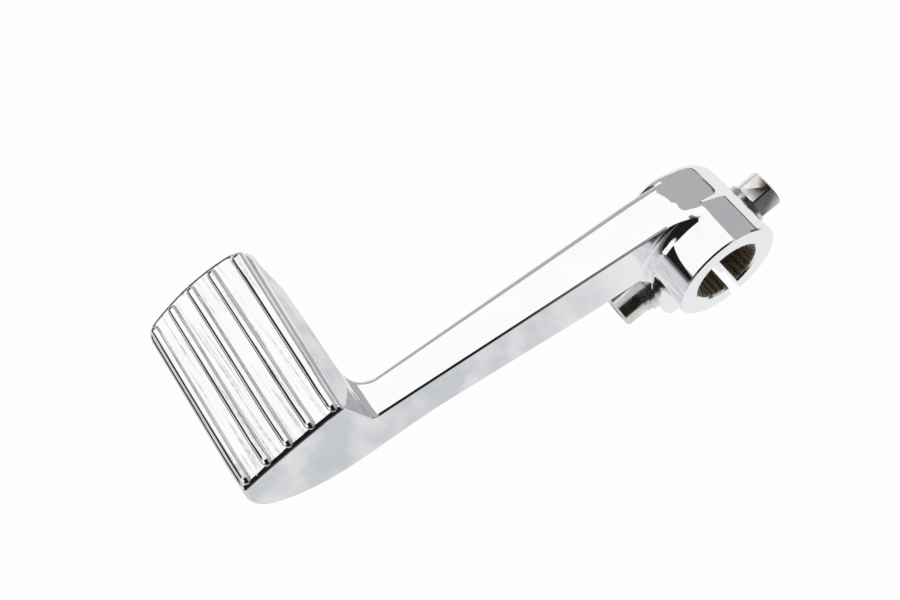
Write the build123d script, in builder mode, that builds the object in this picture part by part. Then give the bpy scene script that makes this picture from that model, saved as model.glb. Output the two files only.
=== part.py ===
"""Right-hand motorcycle brake pedal: a cast lever with a ribbed foot pad, a straight tapering arm and a
split, splined hub, and the pinch screw, nut and washers that clamp the hub on its shaft.

Frame, in millimetres: the origin is on the bore axis in the hub's inboard face. +X runs from the pad to
the hub, +Y runs outboard along the bore, and +Z is the side that the foot presses on.
"""
import os
from math import acos, atan2, cos, hypot, pi, radians, sin, sqrt, tan

from build123d import *

os.makedirs("parts", exist_ok=True)

# Hub
hub_diameter = 30.0
hub_length = 25.5
hub_outboard_round = 2.2
hub_inboard_chamfer = 0.4

# Splined bore
spline_teeth = 28
spline_tip_diameter = 16.8
spline_depth = 0.95
spline_tip_land = 0.7
spline_root_land = 0.25
bore_chamfer = 0.5

# Clamp: the slit, and the lug that carries the pinch screw
clamp_angle = 16.0
slit_width = 2.8
lug_overhang = 2.0
lug_inboard = 8.5
lug_below_hub = 10.0
lug_shoulder_rise = 4.0
lug_corner_round = 5.5
lug_hub_fillet = 2.0
lug_arm_fillet = 5.0

# Pinch screw, nut and washers
screw_diameter = 6.0
screw_hole_diameter = 6.6
screw_outboard = 17.6
screw_below_hub = 1.4
screw_head_diameter = 10.0
screw_head_height = 6.6
screw_head_chamfer = 0.6
screw_tip_chamfer = 0.8
screw_tip_set_back = 0.6
hex_socket_width = 5.0
hex_socket_depth = 3.2
nut_width = 10.0
nut_length = 6.7
nut_chamfer_angle = 30.0
nut_turn = 15.0
thread_clearance = 0.1
washer_diameter = 12.0
washer_bore_diameter = 6.4
washer_thickness = 1.6
spring_washer_diameter = 10.8
spring_washer_thickness = 1.7
spring_washer_gap = 1.2

# Arm
arm_inboard = 12.5
arm_width_at_hub = 11.0
arm_width_at_pad = 7.9
arm_taper_start = 4.9
arm_depth_at_hub = 18.6
arm_depth_at_waist = 14.9
arm_waist_from_pad = 14.4
arm_inboard_round = 0.6
arm_outboard_round = 1.4
arm_bottom_round = 1.0
arm_hub_fillet = 3.0

# Foot pad, and the keel under it that carries it into the arm
pad_tip_x = -130.5
pad_tip_rise = 5.4
pad_length = 29.6
pad_slope = 16.6
pad_crown = 0.8
pad_depth = 51.0
pad_far_radius = 75.0
pad_far_peak = 18.0
pad_tip_corner_round = 4.0
pad_rear_corner_round = 4.0
pad_underside_rise = 0.5
pad_rear_lean = 22.4
pad_rear_fillet = 3.0
pad_edge_round = 1.1
keel_set_back = 5.1
keel_depth = 16.3
keel_nose_radius = 13.3
keel_flat = 5.0
waist_radius = 80.0
web_radius = 7.0

# Ribs on the pad
rib_count = 5
rib_pitch = 6.4
first_rib = 2.2
rib_radius = 1.35
rib_height = 1.0
rib_near_margin = 0.6
rib_far_margin = 1.0

# Working values
hub_radius = hub_diameter / 2
arm_top = hub_radius
arm_outboard = arm_inboard + arm_width_at_pad
arm_bottom_at_hub = arm_top - arm_depth_at_hub
arm_bottom_at_waist = arm_top - arm_depth_at_waist
lug_half_width = hub_radius + lug_overhang
lug_drop = hub_radius + lug_below_hub
lug_shoulder_drop = hub_radius - lug_shoulder_rise
screw_drop = hub_radius + screw_below_hub
turn = radians(clamp_angle)
slope = radians(pad_slope)
lean = radians(pad_rear_lean)
pad_tip_z = arm_top + pad_tip_rise
pad_underside = arm_top + pad_underside_rise
pad_rear_x = pad_tip_x + pad_length * cos(slope)
pad_rear_z = pad_tip_z + pad_length * sin(slope)
rear_foot_x = pad_rear_x + (pad_rear_z - arm_top) * tan(lean)
arm_taper_end = rear_foot_x + arm_taper_start
arm_waist = rear_foot_x + arm_waist_from_pad
keel_length = pad_length - keel_set_back
keel_x = pad_tip_x + keel_length
keel_bottom = arm_top - keel_depth
keel_height = pad_underside - keel_bottom
keel_rise = keel_height - keel_nose_radius
keel_run = keel_length - keel_nose_radius
keel_heel_radius = (keel_run**2 + keel_height**2 - keel_nose_radius**2) / (2 * keel_rise)
keel_joint_angle = atan2(keel_heel_radius - keel_height, keel_run)
keel_joint = (
    pad_tip_x + keel_nose_radius * (1 - cos(keel_joint_angle)),
    pad_underside - keel_nose_radius * sin(keel_joint_angle),
)
web_depth = arm_outboard + web_radius
shoulder_reach = hypot(lug_half_width, lug_shoulder_drop)
shoulder_angle = acos(hub_radius / shoulder_reach) - atan2(lug_shoulder_drop, lug_half_width)
head_seat = lug_half_width + washer_thickness + spring_washer_thickness
nut_seat = lug_half_width + washer_thickness
screw_axis = Axis((0, 0, 0), (cos(turn), 0, sin(turn)))
overlap = 1.5
clear_through = 3 * hub_diameter


def side_plane(outboard):
    """Plane seen from the inboard side, X to the right and Z up, at a distance outboard."""
    return Plane.XZ.offset(-outboard)


def clamp_side_plane(outboard):
    """The same plane, turned so that its x runs along the pinch screw from head to nut."""
    return Plane(origin=(0, outboard, 0), x_dir=(cos(turn), 0, sin(turn)), z_dir=(0, -1, 0))


def screw_plane(along):
    """Plane square to the pinch screw at a distance along it from the slit, facing the nut end."""
    origin = (
        along * cos(turn) + screw_drop * sin(turn),
        screw_outboard,
        along * sin(turn) - screw_drop * cos(turn),
    )
    return Plane(origin=origin, x_dir=(0, 1, 0), z_dir=(cos(turn), 0, sin(turn)))


def screw_section_plane(along):
    """Plane through the pinch screw's axis, its x running towards the nut end."""
    across = screw_plane(along)
    return Plane(origin=across.origin, x_dir=across.z_dir, z_dir=-across.x_dir)


def rear_point(height):
    """Point of the pad's leaning rear face at a height, in X and Z."""
    return (pad_rear_x + (pad_rear_z - height) * tan(lean), height)


def crown_point(share, lift=0.0):
    """Point above the pad's crowned top at a share of its length, in X and Z."""
    rise = 4 * pad_crown * share * (1 - share) + lift
    along = share * pad_length
    return (
        pad_tip_x + along * cos(slope) - rise * sin(slope),
        pad_tip_z + along * sin(slope) + rise * cos(slope),
    )


def far_depth(along):
    """Depth of the pad from the arm's inboard face to its curved far edge."""
    return pad_depth - pad_far_radius + sqrt(pad_far_radius**2 - (along - pad_far_peak) ** 2)


def is_under_arm(point):
    """Whether a point lies on the underside of the arm or keel, short of the lug."""
    return point.Z < arm_top / 2 and point.X < -hub_radius - lug_arm_fillet


def is_over_arm(point):
    """Whether a point lies on the arm's top or on the pad's rear face above it."""
    return point.Z > arm_top - arm_inboard_round and point.X > pad_rear_x


def draw_blend_section(outboard, radius):
    """Lines of the hollow section that blends the hub into a side face at a distance outboard."""
    CenterArc((hub_radius + radius, outboard - radius), radius, 90, 90)
    Polyline(
        (hub_radius, outboard - radius),
        (hub_radius - overlap, outboard - radius),
        (hub_radius - overlap, outboard + overlap),
        (hub_radius + radius, outboard + overlap),
        (hub_radius + radius, outboard),
    )


# Side outline of the arm and keel, with the fillets to the pad's rear face and to the lug
shoulder_x = -lug_half_width * cos(turn) + lug_shoulder_drop * sin(turn)
shoulder_z = -lug_half_width * sin(turn) - lug_shoulder_drop * cos(turn)

with BuildSketch() as blade_outline:
    with BuildLine():
        FilletPolyline(
            (0, arm_top),
            (rear_foot_x, arm_top),
            rear_point(arm_top + 2 * pad_rear_fillet),
            radius=pad_rear_fillet,
        )
        Polyline(
            rear_point(arm_top + 2 * pad_rear_fillet),
            (keel_x, pad_underside + overlap),
            (pad_tip_x, pad_underside + overlap),
            (pad_tip_x, pad_underside),
        )
        nose = TangentArc((pad_tip_x, pad_underside), keel_joint, tangent=(0, -1))
        TangentArc(nose @ 1, (keel_x, keel_bottom), tangent=nose % 1)
        FilletPolyline(
            (keel_x, keel_bottom),
            (keel_x + keel_flat, keel_bottom),
            (arm_waist, arm_bottom_at_waist),
            (-2 * hub_radius, arm_bottom_at_hub),
            (-hub_radius, arm_bottom_at_hub),
            (shoulder_x, shoulder_z),
            (0, shoulder_z),
            (0, arm_top),
            radius=(waist_radius, waist_radius, waist_radius, lug_arm_fillet, 0, 0),
        )
    make_face()

# Side outline of the lug: shoulders that leave the hub at a tangent, then two upright flanks
with BuildSketch() as lug_outline:
    with BuildLine():
        Polyline(
            (-hub_radius * cos(shoulder_angle), hub_radius * sin(shoulder_angle)),
            (-lug_half_width, -lug_shoulder_drop),
            (-lug_half_width, -lug_drop),
            (lug_half_width, -lug_drop),
            (lug_half_width, -lug_shoulder_drop),
            (hub_radius * cos(shoulder_angle), hub_radius * sin(shoulder_angle)),
            close=True,
        )
    make_face()

# Hub and lug
with BuildPart() as clamp:
    with BuildSketch(side_plane(0)):
        Circle(hub_radius)
    extrude(amount=-hub_length)
    with BuildSketch(clamp_side_plane(lug_inboard)):
        add(lug_outline.sketch)
    extrude(amount=-(hub_length - lug_inboard))
    fillet(edges().filter_by(screw_axis), lug_corner_round)
    rim = faces().sort_by(Axis.Y)[-1].edges()
    fillet(rim.filter_by(screw_axis, reverse=True), hub_outboard_round)
    chamfer(faces().sort_by(Axis.Y)[0].edges(), hub_inboard_chamfer)

# Blends from the hub to the arm's inboard face and to the lug's
with BuildPart() as arm_blend:
    with BuildSketch(Plane.XY):
        with BuildLine():
            draw_blend_section(arm_inboard, arm_hub_fillet)
        make_face()
    revolve(axis=Axis.Y)
    with BuildSketch(side_plane(0)):
        add(blade_outline.sketch)
    extrude(amount=-hub_length, mode=Mode.INTERSECT)

with BuildPart() as lug_blend:
    with BuildSketch(Plane.XY):
        with BuildLine():
            draw_blend_section(lug_inboard, lug_hub_fillet)
        make_face()
    revolve(axis=Axis.Y)
    with BuildSketch(clamp_side_plane(0)):
        add(lug_outline.sketch)
    extrude(amount=-hub_length, mode=Mode.INTERSECT)

# Arm and keel: the side outline, cut to the arm's taper in plan
with BuildPart() as blade:
    with BuildSketch(side_plane(arm_inboard)):
        add(blade_outline.sketch)
    extrude(amount=-arm_width_at_hub)
    with BuildSketch(Plane.XY.offset(-hub_diameter)):
        Polygon(
            (0, arm_inboard),
            (pad_tip_x, arm_inboard),
            (pad_tip_x, arm_outboard),
            (arm_taper_end, arm_outboard),
            (-hub_radius, arm_inboard + arm_width_at_hub),
            (0, arm_inboard + arm_width_at_hub),
            align=None,
        )
    extrude(amount=clear_through, mode=Mode.INTERSECT)
    outboard_edges = edges().filter_by(lambda edge: edge.center().Y > arm_outboard)
    under = outboard_edges.filter_by(lambda edge: is_under_arm(edge.center()))
    fillet(under.sort_by(SortBy.LENGTH)[-1], arm_bottom_round)
    outboard_edges = edges().filter_by(lambda edge: edge.center().Y > arm_outboard)
    over = outboard_edges.filter_by(lambda edge: is_over_arm(edge.center()))
    fillet(over.sort_by(SortBy.LENGTH)[-1], arm_outboard_round)

# Web: the hollow corner between the arm's outboard side and the pad's underside
web_x = rear_point(pad_underside)[0]

with BuildPart() as web:
    with BuildSketch(side_plane(arm_inboard + overlap)):
        add(blade_outline.sketch)
    extrude(amount=-(web_depth - arm_inboard - overlap))
    with BuildSketch(Plane.XY.offset(-hub_diameter)):
        with BuildLine():
            CenterArc((web_x + web_radius, web_depth), web_radius, 180, 90)
            Polyline(
                (web_x + web_radius, arm_outboard),
                (web_x + web_radius, arm_inboard + overlap),
                (pad_tip_x, arm_inboard + overlap),
                (pad_tip_x, web_depth),
                (web_x, web_depth),
            )
        make_face()
    extrude(amount=clear_through, mode=Mode.INTERSECT)
    with BuildSketch(Plane.YZ.offset(pad_tip_x)):
        with BuildLine():
            CenterArc((web_depth, pad_underside - web_radius), web_radius, 90, 90)
            Polyline(
                (arm_outboard, pad_underside - web_radius),
                (arm_inboard, pad_underside - web_radius),
                (arm_inboard, pad_rear_z),
                (web_depth, pad_rear_z),
                (web_depth, pad_underside),
            )
        make_face()
    extrude(amount=-2 * pad_tip_x, mode=Mode.INTERSECT)
    arcs = edges().filter_by(GeomType.CIRCLE)
    fillet(arcs.sort_by_distance((web_x + web_radius / 2, arm_outboard, arm_top))[0], arm_outboard_round)

# Pad: a wedge whose top is crowned and whose far edge is an arc in plan
rear_far = (rear_foot_x, arm_inboard + far_depth((rear_foot_x - pad_tip_x) / cos(slope)))
mid_far = (pad_tip_x + pad_far_peak * cos(slope), arm_inboard + pad_depth)
tip_far = (pad_tip_x, arm_inboard + far_depth(0))

with BuildPart() as foot:
    with BuildSketch(side_plane(arm_inboard)):
        with BuildLine():
            ThreePointArc(crown_point(0), crown_point(0.5), crown_point(1))
            Polyline(
                crown_point(1),
                rear_point(pad_underside),
                (pad_tip_x, pad_underside),
                crown_point(0),
            )
        make_face()
    extrude(amount=-2 * pad_depth)
    with BuildSketch(Plane.XY):
        with BuildLine():
            ThreePointArc(tip_far, mid_far, rear_far)
            Polyline(rear_far, (rear_foot_x, arm_inboard), (pad_tip_x, arm_inboard), tip_far)
        make_face()
    extrude(amount=clear_through, mode=Mode.INTERSECT)
    far_corners = faces().sort_by(Axis.Y)[-1].edges().sort_by(Axis.X)
    fillet(far_corners[0], pad_tip_corner_round)
    far_corners = faces().sort_by(Axis.Y)[-1].edges().sort_by(Axis.X)
    fillet(far_corners[-1], pad_rear_corner_round)
    add(blade.part)
    add(web.part)
    fillet(faces().sort_by(Axis.Z)[-1].edges(), pad_edge_round)
    inboard_edges = faces().sort_by(Axis.Y)[0].edges()
    fillet(inboard_edges.filter_by(lambda edge: is_under_arm(edge.center())), arm_bottom_round)
    inboard_edges = faces().sort_by(Axis.Y)[0].edges()
    fillet(inboard_edges.filter_by(lambda edge: is_over_arm(edge.center())), arm_inboard_round)

# Ribs: half-round beads with domed ends, sunk in the pad's crown
with BuildPart() as ribs:
    for number in range(rib_count):
        along = first_rib + number * rib_pitch
        centre = crown_point(along / pad_length, rib_height - rib_radius)
        start = arm_inboard + rib_near_margin + rib_radius
        end = arm_inboard + far_depth(along) - rib_far_margin - rib_radius
        with BuildSketch(Plane(origin=(centre[0], start, centre[1]), x_dir=(0, 1, 0), z_dir=(1, 0, 0))):
            with BuildLine():
                CenterArc((0, 0), rib_radius, 90, 90)
                Line((0, rib_radius), (end - start, rib_radius))
                CenterArc((end - start, 0), rib_radius, 0, 90)
                Line((-rib_radius, 0), (end - start + rib_radius, 0))
            make_face()
        revolve(axis=Axis((centre[0], start, centre[1]), (0, 1, 0)))

# Spline: the bore over the hub's teeth, and the spaces between them for the shaft's
tip_radius = spline_tip_diameter / 2
root_radius = tip_radius + spline_depth
space_half_width = (pi * spline_tip_diameter / spline_teeth - spline_tip_land) / 2
flank_slope = (space_half_width - spline_root_land / 2) / spline_depth
space_start = tip_radius - spline_depth

with BuildSketch() as spline_outline:
    Circle(tip_radius)
    with PolarLocations(0, spline_teeth, start_angle=180 / spline_teeth):
        Polygon(
            (space_start, -space_half_width - flank_slope * spline_depth),
            (root_radius, -spline_root_land / 2),
            (root_radius, spline_root_land / 2),
            (space_start, space_half_width + flank_slope * spline_depth),
            align=None,
        )

# Lever: one casting
with BuildPart() as pedal_lever:
    add(clamp.part)
    add(lug_blend.part)
    add(foot.part)
    add(arm_blend.part)
    add(ribs.part)
    with BuildSketch(clamp_side_plane(0)):
        add(spline_outline.sketch)
    extrude(amount=-hub_length, mode=Mode.SUBTRACT)
    with BuildSketch(side_plane(0)):
        Circle(root_radius + bore_chamfer)
    extrude(amount=-bore_chamfer, taper=45, mode=Mode.SUBTRACT)
    with BuildSketch(clamp_side_plane(0)):
        with Locations((0, -lug_drop / 2)):
            Rectangle(slit_width, lug_drop)
    extrude(amount=-hub_length, mode=Mode.SUBTRACT)
    with BuildSketch(screw_plane(-lug_half_width)):
        Circle(screw_hole_diameter / 2)
    extrude(amount=2 * lug_half_width, mode=Mode.SUBTRACT)

pedal_lever.part.label = "pedal_lever"
export_step(pedal_lever.part, "parts/pedal_lever.step")

# Pinch screw: a cap screw with a hexagon socket
with BuildPart() as pinch_bolt:
    with BuildSketch(screw_plane(-head_seat)):
        Circle(screw_head_diameter / 2)
    extrude(amount=-screw_head_height)
    chamfer(edges().sort_by(screw_axis)[0], screw_head_chamfer)
    with BuildSketch(screw_plane(-head_seat - screw_head_height)):
        RegularPolygon(hex_socket_width / 2, 6, major_radius=False)
    extrude(amount=hex_socket_depth, mode=Mode.SUBTRACT)
    with BuildSketch(screw_plane(-head_seat)):
        Circle(screw_diameter / 2)
    extrude(amount=head_seat + nut_seat + nut_length - screw_tip_set_back)
    chamfer(edges().sort_by(screw_axis)[-1], screw_tip_chamfer)

pinch_bolt.part.label = "pinch_bolt"
export_step(pinch_bolt.part, "parts/pinch_bolt.step")

# Nut: hexagonal, its corners taken off at both ends
nut_corner = nut_width / 2 / cos(pi / 6)
nut_chamfer = (nut_corner - nut_width / 2) * tan(radians(nut_chamfer_angle))

with BuildPart() as pinch_nut:
    with BuildSketch(screw_plane(nut_seat)):
        RegularPolygon(nut_width / 2, 6, major_radius=False, rotation=nut_turn)
    extrude(amount=nut_length)
    with BuildSketch(screw_section_plane(nut_seat)):
        Polygon(
            (0, 0),
            (0, nut_width / 2),
            (nut_chamfer, nut_corner),
            (nut_length - nut_chamfer, nut_corner),
            (nut_length, nut_width / 2),
            (nut_length, 0),
            align=None,
        )
    revolve(axis=Axis(screw_plane(nut_seat).origin, screw_axis.direction), mode=Mode.INTERSECT)
    with BuildSketch(screw_plane(nut_seat)):
        Circle((screw_diameter + thread_clearance) / 2)
    extrude(amount=nut_length, mode=Mode.SUBTRACT)

pinch_nut.part.label = "pinch_nut"
export_step(pinch_nut.part, "parts/pinch_nut.step")

# Flat washers under the head's spring washer and under the nut
for name, along in (("head_washer", -lug_half_width - washer_thickness), ("nut_washer", lug_half_width)):
    with BuildPart() as washer:
        with BuildSketch(screw_plane(along)):
            Circle(washer_diameter / 2)
            Circle(washer_bore_diameter / 2, mode=Mode.SUBTRACT)
        extrude(amount=washer_thickness)
    washer.part.label = name
    export_step(washer.part, f"parts/{name}.step")

# Spring washer: a split ring
with BuildPart() as spring_washer:
    with BuildSketch(screw_plane(-head_seat)):
        Circle(spring_washer_diameter / 2)
        Circle(washer_bore_diameter / 2, mode=Mode.SUBTRACT)
        with Locations((0, -spring_washer_diameter / 2)):
            Rectangle(spring_washer_gap, spring_washer_diameter, mode=Mode.SUBTRACT)
    extrude(amount=spring_washer_thickness)

spring_washer.part.label = "spring_washer"
export_step(spring_washer.part, "parts/spring_washer.step")
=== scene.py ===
"""Studio scene of the brake pedal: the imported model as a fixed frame, dressed as polished chrome."""

from math import cos, radians, sin

import bmesh
import bpy
from mathutils import Matrix, Vector


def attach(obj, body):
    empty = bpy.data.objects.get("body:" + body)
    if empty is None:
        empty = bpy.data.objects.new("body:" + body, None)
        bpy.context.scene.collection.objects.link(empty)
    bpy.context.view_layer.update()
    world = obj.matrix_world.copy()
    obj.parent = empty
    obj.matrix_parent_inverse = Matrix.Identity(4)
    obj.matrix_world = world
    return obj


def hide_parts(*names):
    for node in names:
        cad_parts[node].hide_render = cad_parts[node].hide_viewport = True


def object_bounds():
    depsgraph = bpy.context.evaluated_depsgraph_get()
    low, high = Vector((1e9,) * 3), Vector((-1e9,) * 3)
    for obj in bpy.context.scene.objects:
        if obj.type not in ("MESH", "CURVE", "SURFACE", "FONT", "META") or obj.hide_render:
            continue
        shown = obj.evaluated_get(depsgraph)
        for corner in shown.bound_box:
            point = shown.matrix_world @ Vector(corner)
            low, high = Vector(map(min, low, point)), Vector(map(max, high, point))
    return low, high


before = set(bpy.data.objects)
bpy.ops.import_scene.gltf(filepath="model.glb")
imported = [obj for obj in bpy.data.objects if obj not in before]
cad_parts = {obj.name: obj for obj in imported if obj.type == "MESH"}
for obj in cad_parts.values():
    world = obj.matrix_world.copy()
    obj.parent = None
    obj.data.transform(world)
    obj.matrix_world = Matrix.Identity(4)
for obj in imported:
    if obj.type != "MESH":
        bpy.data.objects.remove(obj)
low_before, high_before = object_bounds()

MM = 0.001

# How far a mesh's vertices may lie apart and be one, in metres
SAME_PLACE = 1e-6
SAME_PLANE = 1e-7

# Depths of the surface texture, in metres
WAVE_DEPTH = 0.00006
PIT_DEPTH = 0.0000015
GRAIN_DEPTH = 0.000001
BRUSH_DEPTH = 0.000012

# The pinch screw's axis, a point on it midway between head and nut, and its thread, in metres
SCREW_TILT = radians(16.0)
SCREW_AXIS = Vector((cos(SCREW_TILT), 0.0, sin(SCREW_TILT)))
SCREW_DROP = 0.0164
SCREW_OUTBOARD = 0.0176
SCREW_CENTRE = Vector((SCREW_DROP * sin(SCREW_TILT), SCREW_OUTBOARD, -SCREW_DROP * cos(SCREW_TILT)))
THREAD_START = -0.009
THREAD_LENGTH = 0.0326
THREAD_PITCH = 0.001
THREAD_CREST = 0.003
THREAD_ROOT = 0.0025
THREAD_CLEARANCE = 0.00005
TURN_STEPS = 24
RIDGE_CORNERS = 4

# The nut as it is tightened, and the wear on its corners, which are the sharp edges along the screw
NUT_TURN = radians(-15.0)
NUT_CORNER_ROUND = 0.00035
NUT_CORNER_ANGLE = 0.9
NUT_FLAT_ANGLE = 0.01
ALONG_SCREW = 0.99

# The pad, in millimetres: its limits towards the arm and the keel, where its rear part starts,
# its rear edge in X and Z, the rear face's height and run, and the normals of the faces that meet there
PAD_END = -94.0
PAD_FLOOR = 14.9
REAR_START = -110.0
REAR_EDGE = Vector((-102.134, 28.857))
REAR_HEIGHT = 13.857
REAR_RUN = 5.712
TOP_NORMAL = Vector((-0.1805, 0.9836))
REAR_NORMAL = Vector((0.9245, 0.3811))
EDGE_ROUND = 1.1

# How far the whole pad and its rear edge lean out, and the far corner draws in, in millimetres.
# Each range gives where the change starts and ends: outboard, upwards, or in from the rear face.
PAD_LEAN = 1.05
LEAN_RANGE = (20.0, 62.0)
REAR_FLARE = 2.15
FLARE_RANGE = (14.0, 62.0)
FLARE_HEIGHTS = (15.2, 28.5)
FLARE_DEPTHS = (0.3, 4.5)
CORNER_TUCK = 1.3
TUCK_RANGE = (52.0, 63.0)
TUCK_DEPTHS = (0.3, 6.0)
ROUND_GROWTH = 3.0
ROUND_POWER = 0.7

# The hub and the arm's end, in millimetres: the limits of what is cut and bent there
HUB_START = -16.0
BORE_REACH = 10.5
HUB_INBOARD = 12.4
HUB_TOP = 2.0
SHELL_FLOOR = 1.0
ARM_INBOARD = 12.5

# The bend at the arm's end, in millimetres: where it starts and how that moves with the place outboard,
# its length, curve, slope and fade, and the ranges over which it grows to its full depth
BEND_START = -4.7
BEND_SLANT = 0.2
BEND_LENGTH = 4.5
BEND_CURVE = 0.03
BEND_SLOPE = 0.27
BEND_FADE = 5.0
BEND_OUTBOARD = (12.4, 15.0)
BEND_REACH = (10.5, 14.5)
BEND_HEIGHTS = (2.0, 9.0)

# How far the arm and hub, and the pad, stand out on the outboard side, in millimetres, and over which ranges
ARM_WIDENING = 1.35
PAD_WIDENING = 1.1
ARM_RANGE = (14.0, 18.5)
PAD_RANGE = (14.0, 60.0)
HUB_RANGE = (21.0, 24.0)
PAD_TO_ARM = (-104.0, -96.0)
ARM_TO_HUB = (-24.0, -16.0)

# Where the mesh is cut before it is shaped, in millimetres; faces inboard of the limit stay whole
CUT_LIMIT = 13.2
REAR_CUTS = (0.5, 0.9, 1.3, 1.7, 2.1, 2.5, 2.9, 3.4, 4.0)
PAD_CUTS = (16.0, 20.0, 27.0, 34.0, 41.0, 48.0, 54.0, 58.0, 60.5)
HUB_CUTS_ACROSS = (-14.5, -13.0, -11.5, -10.0, -8.5, -7.0, -5.5, -4.0, -2.5, -1.0, 0.3, 1.6)
HUB_CUTS_ALONG = (12.4, 12.9, 13.5, 14.2, 15.0, 17.0, 19.0, 21.0)

# Edges that turn by more than this stay sharp, in radians, and how much large faces count in the shading
SHARP_ANGLE = 0.6
FACE_WEIGHT = 90

# Where the bore and the brushed top of the pad begin, in metres
BORE_RADII = (0.0094, 0.0093)
BRUSHED_X = (-0.098, -0.101)
BRUSHED_Y = (0.0128, 0.0132)
BRUSHED_Z = (0.0195, 0.0205)

# Scales of the noise, in waves per metre, and how it is drawn out along the pad
TINT_SCALE = 90.0
BRUSH_SCALE = 1700.0
SCRATCH_SCALE = 1300.0
BORE_SHADE_SCALE = 260.0
SMEAR_SCALE = 160.0
WAVE_SCALE = 110.0
PIT_SCALE = 1400.0
PLATING_SCALE = 420.0
GRAIN_SCALE = 2500.0
PAPER_SCALE = 75.0
BRUSH_STRETCH = (1.0, 0.02, 1.0)
SCRATCH_STRETCH = (1.0, 0.5, 1.0)

# Ranges of the noise that are used; where there are four numbers, the last two are what they become
CLOUD_RANGE = (0.35, 0.65)
BRUSH_RANGE = (0.54, 0.66)
SCRATCH_RANGE = (0.40, 0.60, 0.35, 0.85)
SMEAR_RANGE = (0.4, 0.8, 0.02, 0.06)
PLATING_RANGE = (0.3, 0.7)

# Colours of the finishes; noise blends the two of a pair
CHROME_TINTS = ((0.95, 0.953, 0.96), (0.975, 0.977, 0.98))
SCRATCH_TINT = (0.56, 0.57, 0.55)
# The bore's dull brown tints are painted shade
BORE_SHADE_TINTS = ((0.38, 0.33, 0.22), (0.48, 0.43, 0.31))
SCREW_TINT = (0.90, 0.86, 0.82)
NUT_TINT = (0.94, 0.90, 0.87)
WASHER_TINT = (0.86, 0.86, 0.85)
BORE_ROUGHNESS = 0.5
PLATING_DULL = 0.86
PLATING_ROUGH = 1.3
PLATING_SMOOTH = 0.8

# Colours of the studio
WHITE = (1.0, 1.0, 1.0)
WALL_GREY = (0.42, 0.43, 0.44)
WALL_DARK = (0.06, 0.06, 0.06)
SKIRTING_DARK = (0.10, 0.10, 0.10)
PANEL_DARK = (0.03, 0.03, 0.03)
ROOM_DARK = (0.012, 0.012, 0.012)
PAPER = (0.85, 0.86, 0.88, 1.0)
# Painted shade, clouded, on the paper as reflections show it
PAPER_SHADE_CLOUDS = ((0.58, 0.597, 0.62), (0.76, 0.768, 0.78))
# Painted light on the paper under the hub, as reflections show it
PAPER_LIGHT_UNDER_HUB = (0.84, 0.845, 0.855)
# Painted deep shade on the paper before the pedal, as reflections show it
PAPER_NEAR_SHADE = (0.10, 0.105, 0.11)
PAPER_GLOW = 0.98
PAPER_ROUGHNESS = 0.9

# The studio's parts, as ranges of the components of a direction in which each one fades in
ROOM_NEAR_Y = (-0.28, -0.34)
ROOM_TIP_X = (-0.85, -0.75)
ROOM_FAR_Y = (0.345, 0.315)
ROOM_HUB_X = (0.60, 0.20)
PANEL_Y = (0.36, 0.40)
PANEL_Z = (-0.1, 0.05)
PANEL_START_X = (-0.95, -0.91)
PANEL_END_X = (-0.62, -0.68)
WALL_X = (0.455, 0.475)
WALL_Y = (0.60, 0.64)
SKIRTING_Z = (0.07, 0.03)
DARK_WALL_X = (0.10, -0.05)

# The floor, in metres: its size, its gap to the pedal, and where its painted near shade ends and its painted
# light under the hub begins
FLOOR_SIZE = 6.0
FLOOR_GAP = 0.0005
NEAR_SHADE_Y = (-0.15, -0.02)
LIGHT_UNDER_HUB_X = (-0.035, -0.005)


def step(value, start, end):
    """A straight ramp of a value, from 0 at start to 1 at end."""
    return min(1.0, max(0.0, (value - start) / (end - start)))


def soft_step(value, start, end):
    """A ramp of a value, from 0 at start to 1 at end, level at both."""
    share = step(value, start, end)
    return share * share * (3.0 - 2.0 * share)


def new_material(name):
    """An empty node material and its nodes, with a Principled shader wired to the output."""
    material = bpy.data.materials.new(name)
    material.use_nodes = True
    nodes = material.node_tree.nodes
    return material, nodes, material.node_tree.links, nodes["Principled BSDF"]


def add_ramp(nodes, links, value, start, end, low=0.0, high=1.0):
    """A smooth step of a value, from low at start to high at end."""
    ramp = nodes.new("ShaderNodeMapRange")
    ramp.interpolation_type = "SMOOTHSTEP"
    ramp.inputs["From Min"].default_value = start
    ramp.inputs["From Max"].default_value = end
    ramp.inputs["To Min"].default_value = low
    ramp.inputs["To Max"].default_value = high
    links.new(value, ramp.inputs["Value"])
    return ramp.outputs["Result"]


def add_math(nodes, links, operation, *values):
    """A chain of one math operation over node outputs and numbers."""
    result = values[0]
    for value in values[1:]:
        node = nodes.new("ShaderNodeMath")
        node.operation = operation
        for socket, source in zip(node.inputs, (result, value)):
            if isinstance(source, float):
                socket.default_value = source
            else:
                links.new(source, socket)
        result = node.outputs[0]
    return result


def add_mix(nodes, links, share, first, second):
    """A colour mix of two colours or colour outputs by a share."""
    mix = nodes.new("ShaderNodeMix")
    mix.data_type = "RGBA"
    links.new(share, mix.inputs["Factor"])
    for socket, source in ((mix.inputs["A"], first), (mix.inputs["B"], second)):
        if isinstance(source, tuple):
            socket.default_value = (*source, 1.0)
        else:
            links.new(source, socket)
    return mix.outputs["Result"]


def add_noise(nodes, links, place, scale, detail=2.0, stretch=(1.0, 1.0, 1.0)):
    """Noise at a scale, read at a place output, drawn out along the axes by a stretch."""
    mapping = nodes.new("ShaderNodeMapping")
    mapping.inputs["Scale"].default_value = stretch
    links.new(place, mapping.inputs["Vector"])
    noise = nodes.new("ShaderNodeTexNoise")
    noise.inputs["Scale"].default_value = scale
    noise.inputs["Detail"].default_value = detail
    links.new(mapping.outputs["Vector"], noise.inputs["Vector"])
    return noise.outputs[0]


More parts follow.
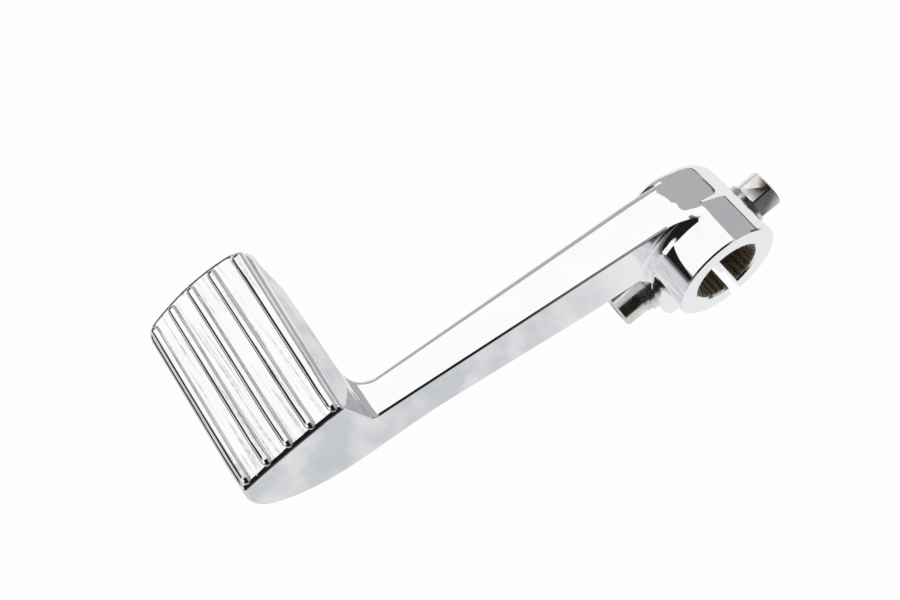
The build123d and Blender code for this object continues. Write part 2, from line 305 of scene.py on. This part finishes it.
def add_bump(nodes, links, height, depth, normal=None):
    """A bump of a depth in metres, on top of another bump's normal."""
    bump = nodes.new("ShaderNodeBump")
    bump.inputs["Strength"].default_value = 1.0
    bump.inputs["Distance"].default_value = depth
    links.new(height, bump.inputs["Height"])
    if normal is not None:
        links.new(normal, bump.inputs["Normal"])
    return bump.outputs["Normal"]


def make_lever_chrome():
    """Polished chrome on a casting: soft waves, fine pits, a pad brushed lengthwise and a bore painted a
    dull dark brown for its shade.
    """
    material, nodes, links, shader = new_material("lever chrome")
    place = nodes.new("ShaderNodeTexCoord").outputs["Object"]
    split = nodes.new("ShaderNodeSeparateXYZ")
    links.new(place, split.inputs[0])
    x, y, z = split.outputs
    across = add_math(nodes, links, "MULTIPLY", x, x)
    upright = add_math(nodes, links, "MULTIPLY", z, z)
    radius = add_math(nodes, links, "POWER", add_math(nodes, links, "ADD", across, upright), 0.5)
    in_bore = add_ramp(nodes, links, radius, *BORE_RADII)
    on_pad = add_math(
        nodes, links, "MULTIPLY",
        add_ramp(nodes, links, x, *BRUSHED_X),
        add_ramp(nodes, links, y, *BRUSHED_Y),
        add_ramp(nodes, links, z, *BRUSHED_Z),
    )
    patches = add_ramp(nodes, links, add_noise(nodes, links, place, TINT_SCALE), *CLOUD_RANGE)
    tint = add_mix(nodes, links, patches, *CHROME_TINTS)
    brushed = add_noise(nodes, links, place, BRUSH_SCALE, detail=3.0, stretch=BRUSH_STRETCH)
    broken = add_noise(nodes, links, place, SCRATCH_SCALE, stretch=SCRATCH_STRETCH)
    scratches = add_math(
        nodes, links, "MULTIPLY",
        add_ramp(nodes, links, brushed, *BRUSH_RANGE),
        add_ramp(nodes, links, broken, *SCRATCH_RANGE),
        on_pad,
    )
    tint = add_mix(nodes, links, scratches, tint, SCRATCH_TINT)
    # Inside the bore the chrome gives way to a dull, rough, non-metallic brown, painted shade for the unlit
    # bore
    bore_shade = add_mix(nodes, links, add_noise(nodes, links, place, BORE_SHADE_SCALE), *BORE_SHADE_TINTS)
    links.new(add_mix(nodes, links, in_bore, tint, bore_shade), shader.inputs["Base Color"])
    smear = add_ramp(nodes, links, add_noise(nodes, links, place, SMEAR_SCALE, detail=4.0), *SMEAR_RANGE)
    bore_roughness = add_math(nodes, links, "MULTIPLY", in_bore, BORE_ROUGHNESS)
    links.new(add_math(nodes, links, "MAXIMUM", smear, bore_roughness), shader.inputs["Roughness"])
    links.new(add_math(nodes, links, "SUBTRACT", 1.0, in_bore), shader.inputs["Metallic"])
    waves = add_bump(nodes, links, add_noise(nodes, links, place, WAVE_SCALE), WAVE_DEPTH)
    brush = add_bump(nodes, links, add_math(nodes, links, "MULTIPLY", brushed, on_pad), BRUSH_DEPTH, waves)
    pits = add_bump(nodes, links, add_noise(nodes, links, place, PIT_SCALE), PIT_DEPTH, brush)
    links.new(pits, shader.inputs["Normal"])
    return material


def make_plating(name, colour, roughness):
    """Bright zinc plating, slightly clouded, with a fine grain."""
    material, nodes, links, shader = new_material(name)
    place = nodes.new("ShaderNodeTexCoord").outputs["Object"]
    cloud = add_ramp(nodes, links, add_noise(nodes, links, place, PLATING_SCALE, detail=3.0), *PLATING_RANGE)
    dull = tuple(PLATING_DULL * part for part in colour)
    links.new(add_mix(nodes, links, cloud, dull, colour), shader.inputs["Base Color"])
    gloss = add_ramp(
        nodes, links, cloud, 0.0, 1.0, roughness * PLATING_ROUGH, roughness * PLATING_SMOOTH
    )
    links.new(gloss, shader.inputs["Roughness"])
    shader.inputs["Metallic"].default_value = 1.0
    grain = add_bump(nodes, links, add_noise(nodes, links, place, GRAIN_SCALE), GRAIN_DEPTH)
    links.new(grain, shader.inputs["Normal"])
    return material


def cut(work, region, point, normal):
    """Cut the faces that lie wholly in a region, and reach past the inboard side, along a plane."""
    faces = [
        face for face in work.faces
        if all(region(vert.co / MM) for vert in face.verts)
        and max(vert.co.y for vert in face.verts) > CUT_LIMIT * MM
    ]
    edges = {edge for face in faces for edge in face.edges}
    verts = {vert for face in faces for vert in face.verts}
    bmesh.ops.bisect_plane(
        work, geom=[*faces, *edges, *verts], dist=SAME_PLANE, plane_co=point * MM, plane_no=normal
    )


def is_pad(point):
    """Whether a point in millimetres belongs to the pad above the keel."""
    return point.x < PAD_END and point.z > PAD_FLOOR


def is_rear(point):
    """Whether a point in millimetres belongs to the pad's rear edge."""
    return is_pad(point) and point.x > REAR_START


def edge_depth(across, normal, other, radius):
    """Depth of a point under two faces that meet in a rounded edge, from its place beside their corner."""
    if in_round(across, normal, other, radius):
        return radius - (across - round_centre(normal, other, radius)).length
    return min(-across.dot(normal), -across.dot(other))


def round_centre(normal, other, radius):
    """Centre of an edge round of a radius, from the corner of the two faces that it joins."""
    return -radius * (normal + other) / (1.0 + normal.dot(other))


def in_round(across, normal, other, radius):
    """Whether a point is in the wedge that an edge round fills, from its place beside the corner."""
    inner = across - round_centre(normal, other, radius)
    turn = inner.x * normal.y - inner.y * normal.x
    back = other.x * inner.y - other.y * inner.x
    return turn > 0.0 and back > 0.0 and inner.dot(normal + other) > 0.0


def shape_pad(work):
    """The pad's rear edge leans out towards its far end, and its edge round grows with it."""
    for distance in REAR_CUTS:
        for normal in (REAR_NORMAL, TOP_NORMAL):
            point = REAR_EDGE - distance * normal
            cut(work, is_rear, Vector((point.x, 0.0, point.y)), Vector((normal.x, 0.0, normal.y)))
    for outboard in PAD_CUTS:
        cut(work, is_pad, Vector((0.0, outboard, 0.0)), Vector((0.0, 1.0, 0.0)))
    for vert in work.verts:
        point = vert.co / MM
        if not is_pad(point):
            continue
        across = Vector((point.x, point.z)) - REAR_EDGE
        inward = -across.dot(REAR_NORMAL)
        outer = step(point.y, *FLARE_RANGE)
        height = step(point.z, *FLARE_HEIGHTS)
        lean = PAD_LEAN * step(point.y, *LEAN_RANGE)
        flare = REAR_FLARE * outer * (1.0 - soft_step(inward, *FLARE_DEPTHS)) * height
        tuck = CORNER_TUCK * soft_step(point.y, *TUCK_RANGE)
        tuck *= (1.0 - soft_step(inward, *TUCK_DEPTHS)) * (1.0 - height)
        depth = edge_depth(across, TOP_NORMAL, REAR_NORMAL, EDGE_ROUND)
        place = Vector((point.x + lean + flare - tuck, point.z))
        corner = REAR_EDGE + Vector(((PAD_LEAN + REAR_FLARE) * outer, 0.0))
        rear_slope = Vector((REAR_HEIGHT, REAR_RUN - REAR_FLARE * outer)).normalized()
        radius = EDGE_ROUND + ROUND_GROWTH * outer ** ROUND_POWER
        if is_rear(point) and outer > 0.0 and in_round(place - corner, TOP_NORMAL, rear_slope, radius):
            centre = corner + round_centre(TOP_NORMAL, rear_slope, radius)
            place = centre + (radius - depth) * (place - centre).normalized()
        vert.co = Vector((place.x, point.y, place.y)) * MM


def is_hub_top(point):
    """Whether a point in millimetres is on top of the arm's end or of the hub's outboard half."""
    return point.x > HUB_START and point.y > HUB_INBOARD and point.z > HUB_TOP


def is_hub_shell(point):
    """Whether a point in millimetres is on the upper half of the hub's outside."""
    reach = Vector((point.x, point.z)).length
    return point.x > HUB_START and point.z > SHELL_FLOOR and reach > BORE_REACH


def shape_hub(work):
    """The arm's top bends down a little before it reaches the hub, and sooner on its outboard side."""
    for outboard in HUB_CUTS_ALONG:
        cut(work, is_hub_shell, Vector((0.0, outboard, 0.0)), Vector((0.0, 1.0, 0.0)))
    for along in HUB_CUTS_ACROSS:
        cut(work, is_hub_top, Vector((along, 0.0, 0.0)), Vector((1.0, 0.0, 0.0)))
    for vert in work.verts:
        point = vert.co / MM
        reach = Vector((point.x, point.z)).length
        if not is_hub_top(point) or reach < BORE_REACH:
            continue
        start = BEND_START - BEND_SLANT * (point.y - ARM_INBOARD)
        bend = min(max(0.0, point.x - start), BEND_LENGTH)
        level = max(0.0, min(point.x, 0.0) - start - BEND_LENGTH)
        fade = min(max(0.0, point.x), BEND_FADE)
        drop = BEND_CURVE * bend * bend
        drop += BEND_SLOPE * (level + fade - fade * fade / (2.0 * BEND_FADE))
        share = soft_step(point.y, *BEND_OUTBOARD) * step(reach, *BEND_REACH)
        share *= step(point.z, *BEND_HEIGHTS)
        vert.co.z -= drop * share * MM


def widen(work):
    """The casting's outboard half stands a little further out than its solid."""
    for vert in work.verts:
        point = vert.co / MM
        on_arm = ARM_WIDENING * soft_step(point.y, *ARM_RANGE)
        on_pad = PAD_WIDENING * step(point.y, *PAD_RANGE)
        on_hub = ARM_WIDENING * soft_step(point.y, *HUB_RANGE)
        reach = on_pad + soft_step(point.x, *PAD_TO_ARM) * (on_arm - on_pad)
        reach += soft_step(point.x, *ARM_TO_HUB) * (on_hub - reach)
        vert.co.y += reach * MM


def shape_casting(work):
    """What the casting has over its solid: the pad's rear edge, the hub's bend and the outboard reach."""
    shape_pad(work)
    shape_hub(work)
    widen(work)
    bmesh.ops.triangulate(work, faces=[face for face in work.faces if len(face.verts) > 3])


def shape_screw(work):
    """The screw's shank, drawn in towards its tip so that the thread stands on it."""
    for vert in work.verts:
        offset = vert.co - SCREW_CENTRE
        along = offset.dot(SCREW_AXIS)
        spoke = offset - along * SCREW_AXIS
        if along > THREAD_START and spoke.length > THREAD_ROOT:
            shank = THREAD_ROOT + THREAD_CLEARANCE
            vert.co = SCREW_CENTRE + along * SCREW_AXIS + spoke.normalized() * shank


def shape_nut(work):
    """The nut, turned as it is tightened, with its corners worn round."""
    turn = Matrix.Rotation(NUT_TURN, 3, SCREW_AXIS)
    bmesh.ops.rotate(work, verts=work.verts, cent=SCREW_CENTRE, matrix=turn)
    bmesh.ops.dissolve_limit(
        work, angle_limit=NUT_FLAT_ANGLE, verts=work.verts, edges=work.edges, use_dissolve_boundaries=False
    )
    corners = [
        edge for edge in work.edges
        if edge.calc_face_angle(0.0) > NUT_CORNER_ANGLE
        and abs((edge.verts[1].co - edge.verts[0].co).normalized().dot(SCREW_AXIS)) > ALONG_SCREW
    ]
    bmesh.ops.bevel(work, geom=corners, offset=NUT_CORNER_ROUND, segments=3, profile=0.5, affect="EDGES")


def finished_copy(node, name, shape=None):
    """A merged copy of a CAD node's mesh, shaped and smoothed, that stands for the node."""
    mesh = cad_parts[node].data.copy()
    mesh.name = name
    work = bmesh.new()
    work.from_mesh(mesh)
    bmesh.ops.remove_doubles(work, verts=work.verts, dist=SAME_PLACE)
    bmesh.ops.dissolve_degenerate(work, edges=work.edges, dist=SAME_PLANE)
    if shape is not None:
        shape(work)
    for edge in work.edges:
        edge.smooth = len(edge.link_faces) == 2 and edge.calc_face_angle(0.0) < SHARP_ANGLE
    for face in work.faces:
        face.smooth = True
    work.to_mesh(mesh)
    work.free()
    piece = bpy.data.objects.new(name, mesh)
    bpy.context.scene.collection.objects.link(piece)
    weighting = piece.modifiers.new("face weighting", "WEIGHTED_NORMAL")
    weighting.keep_sharp = True
    weighting.weight = FACE_WEIGHT
    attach(piece, "root")
    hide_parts(node)
    return piece


def make_thread_tree():
    """Geometry Nodes tree of a rolled thread: a ridge wound round the screw's axis."""
    tree = bpy.data.node_groups.new("rolled thread", "GeometryNodeTree")
    sizes = {}
    for name, kind in (
        ("Root radius", "NodeSocketFloat"),
        ("Crest radius", "NodeSocketFloat"),
        ("Pitch", "NodeSocketFloat"),
        ("Length", "NodeSocketFloat"),
        ("Start", "NodeSocketVector"),
        ("Tilt", "NodeSocketVector"),
        ("Plating", "NodeSocketMaterial"),
    ):
        sizes[name] = tree.interface.new_socket(name, in_out="INPUT", socket_type=kind)
    tree.interface.new_socket("Geometry", in_out="OUTPUT", socket_type="NodeSocketGeometry")
    nodes, links = tree.nodes, tree.links
    given = nodes.new("NodeGroupInput").outputs
    turns = add_math(nodes, links, "DIVIDE", given["Length"], given["Pitch"])
    helix = nodes.new("GeometryNodeCurveSpiral")
    helix.inputs["Resolution"].default_value = TURN_STEPS
    links.new(turns, helix.inputs["Rotations"])
    links.new(given["Root radius"], helix.inputs["Start Radius"])
    links.new(given["Root radius"], helix.inputs["End Radius"])
    links.new(given["Length"], helix.inputs["Height"])
    ridge = nodes.new("GeometryNodeCurvePrimitiveCircle")
    ridge.inputs["Resolution"].default_value = RIDGE_CORNERS
    links.new(
        add_math(nodes, links, "SUBTRACT", given["Crest radius"], given["Root radius"]),
        ridge.inputs["Radius"],
    )
    sweep = nodes.new("GeometryNodeCurveToMesh")
    sweep.inputs["Fill Caps"].default_value = True
    links.new(helix.outputs["Curve"], sweep.inputs["Curve"])
    links.new(ridge.outputs["Curve"], sweep.inputs["Profile Curve"])
    place = nodes.new("GeometryNodeTransform")
    links.new(sweep.outputs["Mesh"], place.inputs["Geometry"])
    links.new(given["Start"], place.inputs["Translation"])
    links.new(given["Tilt"], place.inputs["Rotation"])
    plain = nodes.new("GeometryNodeRealizeInstances")
    links.new(place.outputs["Geometry"], plain.inputs["Geometry"])
    plated = nodes.new("GeometryNodeSetMaterial")
    links.new(plain.outputs["Geometry"], plated.inputs["Geometry"])
    links.new(given["Plating"], plated.inputs["Material"])
    links.new(plated.outputs["Geometry"], nodes.new("NodeGroupOutput").inputs["Geometry"])
    return tree, {name: socket.identifier for name, socket in sizes.items()}


def make_thread(plating):
    """The pinch screw's thread, which shows in the slit and past the nut."""
    tree, sockets = make_thread_tree()
    carrier = bpy.data.objects.new("thread carrier", bpy.data.meshes.new("thread carrier"))
    bpy.context.scene.collection.objects.link(carrier)
    winding = carrier.modifiers.new("winding", "NODES")
    winding.node_group = tree
    winding[sockets["Root radius"]] = THREAD_ROOT
    winding[sockets["Crest radius"]] = THREAD_CREST
    winding[sockets["Pitch"]] = THREAD_PITCH
    winding[sockets["Length"]] = THREAD_LENGTH
    winding[sockets["Start"]] = SCREW_CENTRE + THREAD_START * SCREW_AXIS
    winding[sockets["Tilt"]] = (0.0, radians(90.0) - SCREW_TILT, 0.0)
    winding[sockets["Plating"]] = plating
    graph = bpy.context.evaluated_depsgraph_get()
    mesh = bpy.data.meshes.new_from_object(carrier.evaluated_get(graph))
    bpy.data.objects.remove(carrier)
    work = bmesh.new()
    work.from_mesh(mesh)
    bmesh.ops.recalc_face_normals(work, faces=work.faces)
    work.to_mesh(mesh)
    work.free()
    thread = bpy.data.objects.new("pinch_bolt_thread", mesh)
    bpy.context.scene.collection.objects.link(thread)
    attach(thread, "root")


lever = finished_copy("pedal_lever", "lever_casting", shape_casting)
lever.data.materials.clear()
lever.data.materials.append(make_lever_chrome())

screw_plating = make_plating("screw plating", SCREW_TINT, roughness=0.20)
nut_plating = make_plating("nut plating", NUT_TINT, roughness=0.15)
washer_zinc = make_plating("washer zinc", WASHER_TINT, roughness=0.30)
for node, shape, plating, slot in (
    ("pinch_bolt", shape_screw, screw_plating, "screw_chrome"),
    ("pinch_nut", shape_nut, nut_plating, "nut_chrome"),
    ("head_washer", None, washer_zinc, "washer_steel"),
    ("nut_washer", None, washer_zinc, "washer_steel"),
    ("spring_washer", None, washer_zinc, "washer_steel"),
):
    fastener = finished_copy(node, node + "_finished", shape)
    fastener.data.materials.clear()
    fastener.data.materials.append(plating)
make_thread(screw_plating)


def make_world():
    """A white studio: bright behind the pedal, a dark room behind the camera, grey past the hub."""
    world = bpy.data.worlds.new("white studio")
    bpy.context.scene.world = world
    world.use_nodes = True
    nodes, links = world.node_tree.nodes, world.node_tree.links
    nodes.clear()
    place = nodes.new("ShaderNodeTexCoord")
    split = nodes.new("ShaderNodeSeparateXYZ")
    links.new(place.outputs["Generated"], split.inputs[0])
    x, y, z = split.outputs
    room = add_math(
        nodes, links, "MULTIPLY",
        add_math(
            nodes, links, "MAXIMUM",
            add_ramp(nodes, links, y, *ROOM_NEAR_Y),
            add_ramp(nodes, links, x, *ROOM_TIP_X),
        ),
        add_ramp(nodes, links, y, *ROOM_FAR_Y),
        add_ramp(nodes, links, x, *ROOM_HUB_X),
    )
    panel = add_math(
        nodes, links, "MULTIPLY",
        add_ramp(nodes, links, y, *PANEL_Y),
        add_ramp(nodes, links, z, *PANEL_Z),
        add_ramp(nodes, links, x, *PANEL_START_X),
        add_ramp(nodes, links, x, *PANEL_END_X),
    )
    wall = add_math(
        nodes, links, "MAXIMUM",
        add_ramp(nodes, links, x, *WALL_X),
        add_ramp(nodes, links, y, *WALL_Y),
    )
    skirting = add_ramp(nodes, links, z, *SKIRTING_Z)
    along_wall = add_math(nodes, links, "MULTIPLY", wall, skirting)
    paint = add_mix(nodes, links, add_ramp(nodes, links, x, *DARK_WALL_X), WALL_GREY, WALL_DARK)
    colour = add_mix(nodes, links, wall, WHITE, paint)
    colour = add_mix(nodes, links, along_wall, colour, SKIRTING_DARK)
    colour = add_mix(nodes, links, panel, colour, PANEL_DARK)
    colour = add_mix(nodes, links, room, colour, ROOM_DARK)
    rays = nodes.new("ShaderNodeLightPath")
    colour = add_mix(nodes, links, rays.outputs["Is Camera Ray"], colour, WHITE)
    glow = nodes.new("ShaderNodeBackground")
    links.new(colour, glow.inputs["Color"])
    out = nodes.new("ShaderNodeOutputWorld")
    links.new(glow.outputs[0], out.inputs[0])


def make_floor(height):
    """A pale sheet under the pedal, white to the camera, that glows in reflections with painted shade,
    clouded and deep before it, and painted light under the hub.
    """
    bpy.ops.mesh.primitive_plane_add(size=FLOOR_SIZE, location=(0.0, 0.0, height))
    sheet = bpy.context.object
    sheet.name = "floor"
    material, nodes, links, shader = new_material("pale paper")
    shader.inputs["Base Color"].default_value = PAPER
    shader.inputs["Roughness"].default_value = PAPER_ROUGHNESS
    place = nodes.new("ShaderNodeTexCoord").outputs["Object"]
    split = nodes.new("ShaderNodeSeparateXYZ")
    links.new(place, split.inputs[0])
    x, y, _ = split.outputs
    clouds = add_noise(nodes, links, place, PAPER_SCALE, detail=4.0)
    away = add_ramp(nodes, links, y, *NEAR_SHADE_Y)
    light_under_hub = add_ramp(nodes, links, x, *LIGHT_UNDER_HUB_X)
    # In reflections the paper glows with painted, clouded shade
    shade_clouds = add_mix(nodes, links, add_ramp(nodes, links, clouds, *CLOUD_RANGE), *PAPER_SHADE_CLOUDS)
    # Painted light on the paper under the hub, in reflections
    seen = add_mix(nodes, links, light_under_hub, shade_clouds, PAPER_LIGHT_UNDER_HUB)
    # Painted deep shade on the paper before the pedal, in reflections
    seen = add_mix(nodes, links, away, PAPER_NEAR_SHADE, seen)
    rays = nodes.new("ShaderNodeLightPath")
    seen = add_mix(nodes, links, rays.outputs["Is Camera Ray"], seen, WHITE)
    glow = nodes.new("ShaderNodeEmission")
    links.new(seen, glow.inputs["Color"])
    mix = nodes.new("ShaderNodeMixShader")
    shown = add_math(nodes, links, "MAXIMUM", rays.outputs["Is Camera Ray"], rays.outputs["Is Glossy Ray"])
    links.new(add_math(nodes, links, "MULTIPLY", shown, PAPER_GLOW), mix.inputs["Fac"])
    links.new(shader.outputs[0], mix.inputs[1])
    links.new(glow.outputs[0], mix.inputs[2])
    links.new(mix.outputs[0], nodes["Material Output"].inputs["Surface"])
    sheet.data.materials.append(material)


def make_camera():
    """The camera, above the pad's tip and inboard of it, looking steeply down at the middle of the arm."""
    right = Vector((0.82597, -0.55559, -0.09538))
    up = Vector((0.52677, 0.70046, 0.48152))
    back = Vector((-0.20071, -0.44797, 0.87123))
    place = Matrix((right, up, back)).transposed().to_4x4()
    place.translation = Vector((-0.130818, -0.120226, 0.303464))
    data = bpy.data.cameras.new("camera")
    data.sensor_width = 36.0
    data.lens = 54.53
    camera = bpy.data.objects.new("camera", data)
    camera.matrix_world = place
    bpy.context.scene.collection.objects.link(camera)
    bpy.context.scene.camera = camera


make_world()
make_floor(low_before.z - FLOOR_GAP)
make_camera()
bpy.context.scene.view_settings.view_transform = "Standard"
